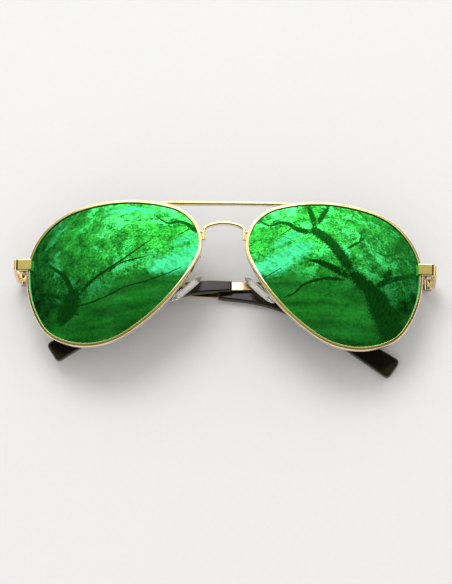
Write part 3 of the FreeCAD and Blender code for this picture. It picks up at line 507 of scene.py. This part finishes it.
# ---------------------------------------------------------------- end pieces
def end_piece_stations():
    """Outer point, inner point and groove mark of each section along the bent strip, millimetres."""
    thick = END_THICKNESS
    slope = (END_FRONT_OUTER - END_FRONT_INNER) / (END_OUTER - END_INNER)
    turn = math.radians(90) + math.atan(slope)
    reach = END_BEND / math.tan(turn / 2)
    centre = Vector((END_OUTER - END_BEND, END_FRONT_OUTER - reach))
    corner = Vector((END_OUTER - thick, END_FRONT_OUTER - thick - slope * thick))
    stations = []

    def front(x, depth, dark):
        outer = Vector((x, END_FRONT_INNER + slope * (x - END_INNER) - depth))
        inner = Vector((min(x, corner.x - CORNER_GAP),
                        END_FRONT_INNER - thick + slope * (x - END_INNER)))
        stations.append((outer, inner, dark))

    groove_in, groove_out = GROOVE_SPAN
    front(END_INNER, STRIP_EASE, False)
    front(END_INNER + STRIP_EASE, 0, False)
    front((END_INNER + groove_in) / 2, 0, False)
    front(groove_in - GROOVE_WALL, 0, False)
    front(groove_in, GROOVE_DEPTH, True)
    front(groove_out, GROOVE_DEPTH, True)
    front(groove_out + GROOVE_WALL, 0, False)
    for i in range(BEND_STEPS + 1):
        angle = turn - turn * i / BEND_STEPS
        out = Vector((math.cos(angle), math.sin(angle)))
        stations.append((centre + out * END_BEND, corner + out * INNER_BEND, False))
    for z in (SIDE_MIDDLE, END_BACK + STRIP_EASE, END_BACK):
        inset = STRIP_EDGE_INSIDE if z == END_BACK else 0
        stations.append((Vector((END_OUTER - inset, z)), Vector((END_OUTER - thick, z)), False))
    return stations


def make_end_piece(side, sign):
    """The bent strip: satin on its outer face, with a line cut across it whose faces carry painted
    shade.
    """
    points, finish = [], []
    rows = end_piece_stations()
    half = END_HEIGHT / 2
    outside, inside = half - STRIP_EDGE_OUTSIDE, half - STRIP_EDGE_INSIDE
    near, far = STRIP_CHAMFER, 1 - STRIP_CHAMFER
    # Round the section: outer face, lower edge, inner face, upper edge.
    section = ((0, outside), (0, -outside), (near, -half), (far, -half),
               (1, -inside), (1, inside), (far, half), (near, half))
    for outer, inner, _ in rows:
        for share, y in section:
            flat = outer.lerp(inner, share)
            points.append(FRONT @ (Vector((sign * flat.x, END_CENTRE + y, flat.y)) * MM))
    count = len(section)
    faces = ring_faces(len(rows), count) + end_faces(len(points), count)
    # The faces of the cut line take the painted groove shade.
    for (_, _, before), (_, _, after) in zip(rows, rows[1:]):
        for j in range(count):
            grooved = (before or after) and j in (0, 1, count - 1)
            finish.append(GROOVED if grooved else SATIN if j == 0 else POLISHED)
    finish += [POLISHED, POLISHED]
    piece = mesh_piece(f"{side}_end_strip", points, faces, MATERIALS["gold_metal"], "front",
                       [f"{side}_end_piece"])
    for material in ("satin_gold", "groove"):
        piece.data.materials.append(MATERIALS[material])
    for polygon, index in zip(piece.data.polygons, finish):
        polygon.material_index = index
    piece.data.set_sharp_from_angle(angle=STRIP_SHARP_ANGLE)


# ---------------------------------------------------------------- nose pads
PAD_CENTRE = Vector((12.3, -4.9, -5.0))
PAD_TOWARDS_NOSE = Vector((-0.63, -0.70, -0.33))
PAD_ALONG = Vector((-0.744, 0.668, 0))
PAD_LENGTH, PAD_WIDTH, PAD_THICKNESS, PAD_DISH = 13.5, 6.7, 2.5, 0.10
# Powers that shape the crown and the edge, and the taper towards the pad's upper end.
PAD_CROWN, PAD_FULLNESS, PAD_TAPER = 1.15, 0.55, 0.07


def pad_frame(sign):
    """Frame of one nose pad: x along the pad, z towards the nose."""
    mirror = Matrix.Diagonal((sign, 1, 1))
    z_axis = (mirror @ PAD_TOWARDS_NOSE).normalized()
    along = mirror @ PAD_ALONG
    x_axis = (along - z_axis * along.dot(z_axis)).normalized()
    turn = Matrix((x_axis, z_axis.cross(x_axis), z_axis)).transposed().to_4x4()
    return FRONT @ Matrix.Translation(mirror @ PAD_CENTRE * MM) @ turn


def make_nose_pad(side, sign):
    """A drop-shaped silicone cushion, crowned towards the nose and flatter behind."""
    place = pad_frame(sign)
    rings, spokes = 18, 56
    points = []
    for ring in range(1, rings):
        turn = math.pi * ring / rings
        level, reach = math.cos(turn), math.sin(turn)
        height = math.copysign(abs(level) ** PAD_CROWN, level) * PAD_THICKNESS / 2
        width = abs(reach) ** PAD_FULLNESS
        for spoke in range(spokes):
            angle = 2 * math.pi * spoke / spokes
            x = math.cos(angle) * PAD_LENGTH / 2 * width
            y = math.sin(angle) * PAD_WIDTH / 2 * width
            y *= 1 - PAD_TAPER - PAD_TAPER * math.cos(angle)
            dish = PAD_DISH * (1 - (math.cos(angle) * width) ** 2) if level < 0 else 0
            points.append(place @ (Vector((x, y, height + dish)) * MM))
    points.append(place @ Vector((0, 0, PAD_THICKNESS / 2 * MM)))
    points.append(place @ Vector((0, 0, (-PAD_THICKNESS / 2 + PAD_DISH) * MM)))
    faces = ring_faces(rings - 1, spokes) + pole_faces(len(points), spokes)
    piece = mesh_piece(f"{side}_pad_cushion", points, faces, MATERIALS["pad_silicone"],
                       f"{side}_nose_pad", [f"{side}_nose_pad"])


# ---------------------------------------------------------------- what the lenses mirror
CANOPY_HEIGHT = 0.175


def mirrored_in_lens(sign, x, y):
    """Point of the canopy that is mirrored towards the camera at a point of a lens's face."""
    place = lens_frame(sign)
    point = place @ Vector((x, y, math.sqrt(LENS_CURVE ** 2 - x * x - y * y) - LENS_CURVE))
    normal = (point - place @ Vector((0, 0, -LENS_CURVE))).normalized()
    ray = (point - CAMERA_PLACE).normalized()
    ray = ray - 2 * ray.dot(normal) * normal
    return point + ray * ((CANOPY_HEIGHT - point.z) / ray.z)


def seen_in_reflections_only(obj):
    """Make a stage object that only gloss and mirror surfaces see."""
    obj.visible_camera = False
    obj.visible_diffuse = False
    obj.visible_shadow = False
    obj.visible_transmission = False
    obj.visible_volume_scatter = False


def stage_plane(name, corners, material):
    """A flat four-cornered plane of the surroundings."""
    mesh = bpy.data.meshes.new(name)
    mesh.from_pydata([tuple(corner) for corner in corners], [], [(0, 1, 2, 3)])
    mesh.materials.append(material)
    obj = bpy.data.objects.new(name, mesh)
    bpy.context.scene.collection.objects.link(obj)
    return obj


def canopy_material():
    """Sunlit leaves over a lawn: bright overhead and far off, dark at the sides and close by."""
    material, r = new_material("canopy")
    place = r.node("SeparateXYZ", {"Vector": r.places()})
    across, along = r.math("ABSOLUTE", place.outputs["X"]), place.outputs["Y"]
    waver = r.math("MULTIPLY", r.range(r.noise(14, 3), 0, 1, -0.5, 0.5), 0.05)
    above_lawn = r.math("ADD", r.math("ADD", along, waver), r.math("MULTIPLY", across, 0.29))
    leafy = r.range(above_lawn, 0.030, 0.080, smooth=True)
    far = r.ramp(r.range(along, 0.03, 0.23), ((0, 0.20), (0.2, 0.45), (0.5, 0.80), (1, 1)))
    side = r.ramp(r.range(across, 0, 0.32),
                  ((0, 1), (0.12, 0.95), (0.3, 0.76), (0.5, 0.46), (0.8, 0.15), (1, 0.08)))
    tree_level = r.math("MULTIPLY", r.math("MULTIPLY", far, side), 3.0)
    clumps = r.range(r.noise(40, 4, 0.6, 0.4), 0.32, 0.68)
    leaves = r.range(r.noise(300, 4, 0.8, 0.8), 0.38, 0.62)
    crowd = r.math("ADD", r.noise(26, 5, 0.65, 0.6), r.math("MULTIPLY", leaves, 0.12))
    gaps = r.range(crowd, 0.56, 0.70, smooth=True)
    texture = r.math("MULTIPLY", r.range(clumps, 0, 1, 0.32, 1.3), r.range(leaves, 0, 1, 0.22, 1.6))
    tree = r.math("MULTIPLY", tree_level, r.math("ADD", texture, r.math("MULTIPLY", gaps, 1.1)))
    mown = r.range(r.noise(1, 4, places=r.stretched((12, 70, 1))), 0.3, 0.7, 0.45, 1.45)
    blades = r.range(r.noise(260, 3, 0.8), 0.35, 0.65, 0.70, 1.3)
    lawn_level = r.ramp(r.range(along, -0.11, 0.05), ((0, 0.02), (0.2, 0.22), (1, 0.45)))
    lawn = r.math("MULTIPLY", r.math("MULTIPLY", mown, blades), lawn_level)
    level = r.node("Mix", {0: leafy, 2: lawn, 3: tree}, data_type="FLOAT").outputs[0]
    leaf_hue = r.blend(leaves, (0.90, 1.0, 0.31, 1), (0.92, 1.0, 0.45, 1))
    hue = r.blend(r.math("MULTIPLY", gaps, leafy), leaf_hue, (1.05, 1.0, 0.90, 1))
    r.surface(r.node("Emission", {"Color": hue, "Strength": level}))
    return material


def make_canopy():
    """The leaves and the lawn, on one plane above the glasses."""
    reach_x, near, far = 0.5, -0.32, 0.36
    corners = [Vector((-reach_x, near, CANOPY_HEIGHT)), Vector((-reach_x, far, CANOPY_HEIGHT)),
               Vector((reach_x, far, CANOPY_HEIGHT)), Vector((reach_x, near, CANOPY_HEIGHT))]
    seen_in_reflections_only(stage_plane("canopy", corners, canopy_material()))


# Trunks and branches of the mirrored trees, as they cross each lens: (x, y) from the lens centre
# and half width, millimetres on the lens.
TREES = {
    -1: (
        ((-13.5, -16.5, 4.0), (-14.5, -15, 3.8), (-13.5, -12, 3.3), (-13, -8.5, 2.8),
         (-13.5, -6.5, 2.3)),
        ((-13.5, -7, 1.1), (-15.5, -2.5, 0.8), (-20, 1.5, 0.6), (-26, 5.5, 0.35)),
        ((-10.5, -12, 0.4), (-7.5, -11.5, 0.35), (-1.5, -9.5, 0.3), (4.5, -6.5, 0.25),
         (11.5, -4.5, 0.22), (19, -1.5, 0.18), (23.5, 1, 0.14)),
        ((-11, -8.5, 0.7), (-6, -3.5, 0.5), (-1, 0, 0.4), (4, 3.5, 0.35), (8.5, 7, 0.25),
         (13.5, 11, 0.18)),
        ((-1, -1, 0.35), (3, 2, 0.3), (8, 3.5, 0.3), (12, 4.5, 0.2)),
        ((-15.5, -10.5, 0.6), (-19.5, -8, 0.4), (-24, -6.5, 0.2)),
        ((-18.5, -11.5, 0.8), (-21, -12, 0.7), (-23, -13, 0.5)),
        ((22, 12.5, 0.25), (26.5, 16, 0.2)),
    ),
    1: (
        ((20.5, -23, 5.4), (18.5, -16, 4.6), (15.5, -11.5, 4.0), (13, -6.5, 3.1), (9, -3, 2.5),
         (5, 0.5, 2.1)),
        ((5, 0.5, 2.1), (3, 4.5, 1.9), (0.5, 8, 1.8), (-3, 12, 1.8), (-6.5, 14.5, 1.6),
         (-7.5, 16, 1.4)),
        ((-7, 16, 1.1), (-7.5, 19.5, 1.0), (-9, 24, 0.9)),
        ((-6.5, 16.5, 0.9), (-4.5, 20, 0.85), (-2, 24.5, 0.8)),
        ((-8, 14, 1.2), (-12.5, 15, 0.9), (-15.5, 17, 0.7), (-18.5, 17.5, 0.55), (-22, 16.5, 0.4),
         (-26, 19, 0.3)),
        ((25, 17, 1.8), (23, 12.5, 1.6), (20.5, 8.5, 1.4)),
        ((20.5, 8.5, 0.4), (17, 7.5, 0.3), (14, 8.5, 0.25)),
        ((14, -4, 1.2), (18, -1.5, 1.0), (23.5, 0.5, 0.8), (28.5, 2.5, 0.6)),
        ((17, -1.5, 1.6), (19, 2.5, 1.3)),
        ((5, -1.5, 1.7), (0, 1, 1.2), (-4.5, 3, 0.9), (-9, 4, 0.5)),
        ((3.5, -2.5, 0.7), (-3, -2.5, 0.5), (-7, -3.5, 0.45), (-10.5, -5, 0.4), (-13.5, -8, 0.3),
         (-17, -9.5, 0.25)),
        ((4, 8.5, 0.5), (6.5, 10.5, 0.4), (8.5, 12, 0.35), (9, 16, 0.25)),
        ((20, -10.5, 1.0), (24.5, -16.5, 0.6)),
    ),
}
# Patches of open sky between the trees, in the same measure.
SKY = {
    -1: (((18, -2, 1.6), (24, 2, 2.4), (27, 5, 1.6)),
         ((-4, 21, 0.8), (6, 22.5, 1.2), (16, 20.5, 0.9))),
    1: (((-28, -1.5, 2.0), (-21, 2.5, 3.2), (-13, 7, 3.6), (-7, 10, 2.0)),
        ((-22, 8, 1.2), (-14, 12.5, 1.6), (-10, 14, 0.8))),
}
# How far each hangs below the canopy, and how much its width wavers.
SKY_DROP, SKY_RAGGED = 0.0004, 0.2
TREE_DROP, TREE_RAGGED = 0.0008, 0.12
# A band is drawn wider than it shows, because it fades out towards its edges and its ends.
BAND_WIDENING, BAND_END_STEPS, CURVE_STEPS = 1.55, 12, 10


def bark_material():
    """Dark bark low down, washed out by the light higher up."""
    material, r = new_material("mirrored_bark")
    along = r.node("SeparateXYZ", {"Vector": r.places()}).outputs["Y"]
    haze = r.range(along, 0.06, 0.15, 1, 3.5)
    streak = r.range(r.noise(1, 4, 0.7, places=r.stretched((520, 120, 120))), 0.3, 0.7, 0.03, 0.17)
    streak = r.math("MULTIPLY", streak, haze)
    r.faded_light((0.9, 1.0, 0.35, 1), streak, r.noise(420, 4, 0.7), 0.25)
    return material


def sky_material():
    """Open sky with slanting rays and a few leaves before it."""
    material, r = new_material("mirrored_sky")
    rays = r.noise(1, 4, 0.65, places=r.stretched((40, 260, 40), (0, 0, 0.5)))
    leaves = r.range(r.noise(280, 3, 0.7), 0.35, 0.65, 0.75, 1.2)
    veil = r.math("MULTIPLY", r.range(rays, 0.3, 0.7, 1.5, 3.2), leaves)
    r.faded_light((1.05, 1.0, 1.5, 1), veil, r.noise(150, 5, 0.7), 0.6)
    return material


def curve_through(route):
    """Smooth run of (x, y, half width) through the route's points."""
    route = [Vector(stop) for stop in route]
    ends = [route[0] * 2 - route[1]] + route + [route[-1] * 2 - route[-2]]
    run = []
    for a, b, c, d in zip(ends, ends[1:], ends[2:], ends[3:]):
        for i in range(CURVE_STEPS):
            t = i / CURVE_STEPS
            run.append(0.5 * (2 * b + (c - a) * t + (2 * a - 5 * b + 4 * c - d) * t * t
                              + (3 * b - a - 3 * c + d) * t ** 3))
    return run + [route[-1]]


def make_mirrored_band(name, sign, route, below, ragged, material, chance):
    """A flat strip of the canopy that shows as the given band across one lens."""
    run = curve_through(route)
    points, faces, fade = [], [], []
    for index, stop in enumerate(run):
        before, after = run[max(index - 1, 0)], run[min(index + 1, len(run) - 1)]
        across = Vector((before.y - after.y, after.x - before.x)).normalized()
        for edge in (1, 0, -1):
            half = stop.z * (BAND_WIDENING + ragged * chance.uniform(-1, 1)) * edge
            from_end = min(index, len(run) - 1 - index)
            fade.append(min(1 - abs(edge), 0.5 + from_end / BAND_END_STEPS))
            spot = mirrored_in_lens(sign, (stop.x + across.x * half) * MM,
                                    (stop.y + across.y * half) * MM)
            points.append((spot.x, spot.y, CANOPY_HEIGHT - below))
    for i in range(0, 3 * (len(run) - 1), 3):
        faces += [(i, i + 1, i + 4, i + 3), (i + 1, i + 2, i + 5, i + 4)]
    mesh = bpy.data.meshes.new(name)
    mesh.from_pydata(points, [], faces)
    mesh.attributes.new("fade", "FLOAT", "POINT").data.foreach_set("value", fade)
    mesh.materials.append(material)
    band = bpy.data.objects.new(name, mesh)
    bpy.context.scene.collection.objects.link(band)
    seen_in_reflections_only(band)


def make_mirrored_trees():
    """Trunks, branches and sky patches, each a band that only the mirrors see."""
    chance = random.Random(7)
    bark, sky = bark_material(), sky_material()
    for sign in (-1, 1):
        for number, route in enumerate(SKY[sign]):
            make_mirrored_band(f"sky_{sign + 1}_{number}", sign, route, SKY_DROP, SKY_RAGGED, sky,
                               chance)
        for number, route in enumerate(TREES[sign]):
            make_mirrored_band(f"tree_{sign + 1}_{number}", sign, route, TREE_DROP, TREE_RAGGED, bark,
                               chance)


# ---------------------------------------------------------------- floor, lights
def make_floor():
    """A plain pale floor under the glasses."""
    material, r = new_material("pale_floor")
    grain = r.noise(700, 3)
    tone = r.blend(grain, (0.79, 0.79, 0.79, 1), (0.82, 0.82, 0.82, 1))
    r.surface(r.node("BsdfPrincipled", {"Base Color": tone, "Roughness": 0.75,
                                        "Specular IOR Level": 0.2,
                                        "Normal": r.bump(grain, 2e-5, 0.2)}))
    reach = 20
    corners = [Vector((-reach, -reach, 0)), Vector((reach, -reach, 0)),
               Vector((reach, reach, 0)), Vector((-reach, reach, 0))]
    stage_plane("floor", corners, material)


def make_area_light(name, place, target, size, power):
    """A soft round light at `place`, aimed at `target`."""
    data = bpy.data.lights.new(name, "AREA")
    data.shape = "DISK"
    data.size = size
    data.energy = power
    light = bpy.data.objects.new(name, data)
    light.location = place
    light.rotation_mode = "QUATERNION"
    light.rotation_quaternion = (Vector(target) - Vector(place)).to_track_quat("-Z", "Y")
    bpy.context.scene.collection.objects.link(light)
    return light


def card_material(name, strength):
    """Even light with a slow fall-off."""
    material, r = new_material(name)
    fall = r.range(r.noise(3, 1), 0.2, 0.8, 0.85, 1.15)
    light = r.math("MULTIPLY", fall, strength)
    r.surface(r.node("Emission", {"Color": (1.0, 0.98, 0.95, 1), "Strength": light}))
    return material


def make_card(name, centre, along, up, width, height, strength):
    """A glowing card that only mirror surfaces see."""
    centre, along, up = Vector(centre), Vector(along) * width / 2, Vector(up) * height / 2
    corners = [centre - along - up, centre + along - up, centre + along + up, centre - along + up]
    seen_in_reflections_only(stage_plane(name, corners, card_material(name, strength)))


def make_lights():
    """Soft light all round, one soft key light, and cards along the sides for the metal."""
    world = bpy.data.worlds.new("studio")
    bpy.context.scene.world = world
    world.use_nodes = True
    world.node_tree.nodes["Background"].inputs["Color"].default_value = (1.0, 0.99, 0.97, 1)
    world.node_tree.nodes["Background"].inputs["Strength"].default_value = 0.80
    key = make_area_light("key", (-0.25, 0.75, 1.3), (0, 0, 0), 0.9, 9)
    key.visible_glossy = False
    make_card("card_far", (0, 0.75, 0.14), (1, 0, 0), (0, 0, 1), 1.6, 0.28, 2.6)
    make_card("card_left", (-0.85, 0, 0.16), (0, 1, 0), (0, 0, 1), 0.9, 0.32, 1.6)
    make_card("card_right", (0.85, 0, 0.16), (0, 1, 0), (0, 0, 1), 0.9, 0.32, 1.6)


# ---------------------------------------------------------------- assembly
SLOT_OF_KIND = (
    ("nose_pad", "pad_silicone"), ("pad_core", "pad_plate"), ("temple_tip", "tip_acetate"),
    ("lens", "mirror_lens"), ("screw", "screw_steel"),
)


def slot_of(node):
    """The record's material slot of a CAD node, from the end of its name."""
    for ending, slot in SLOT_OF_KIND:
        if node.endswith(ending):
            return slot
    return "gold_metal"


make_camera()
make_floor()
make_lights()
make_canopy()
make_mirrored_trees()
for name, node in frame["nodes"].items():
    node.data.materials.clear()
    node.data.materials.append(MATERIALS[slot_of(name)])
for side, sign in SIDES:
    make_lens(side, sign)
    make_eyewire(side, sign)
    make_end_piece(side, sign)
    make_nose_pad(side, sign)

bpy.context.scene.view_settings.view_transform = "Standard"
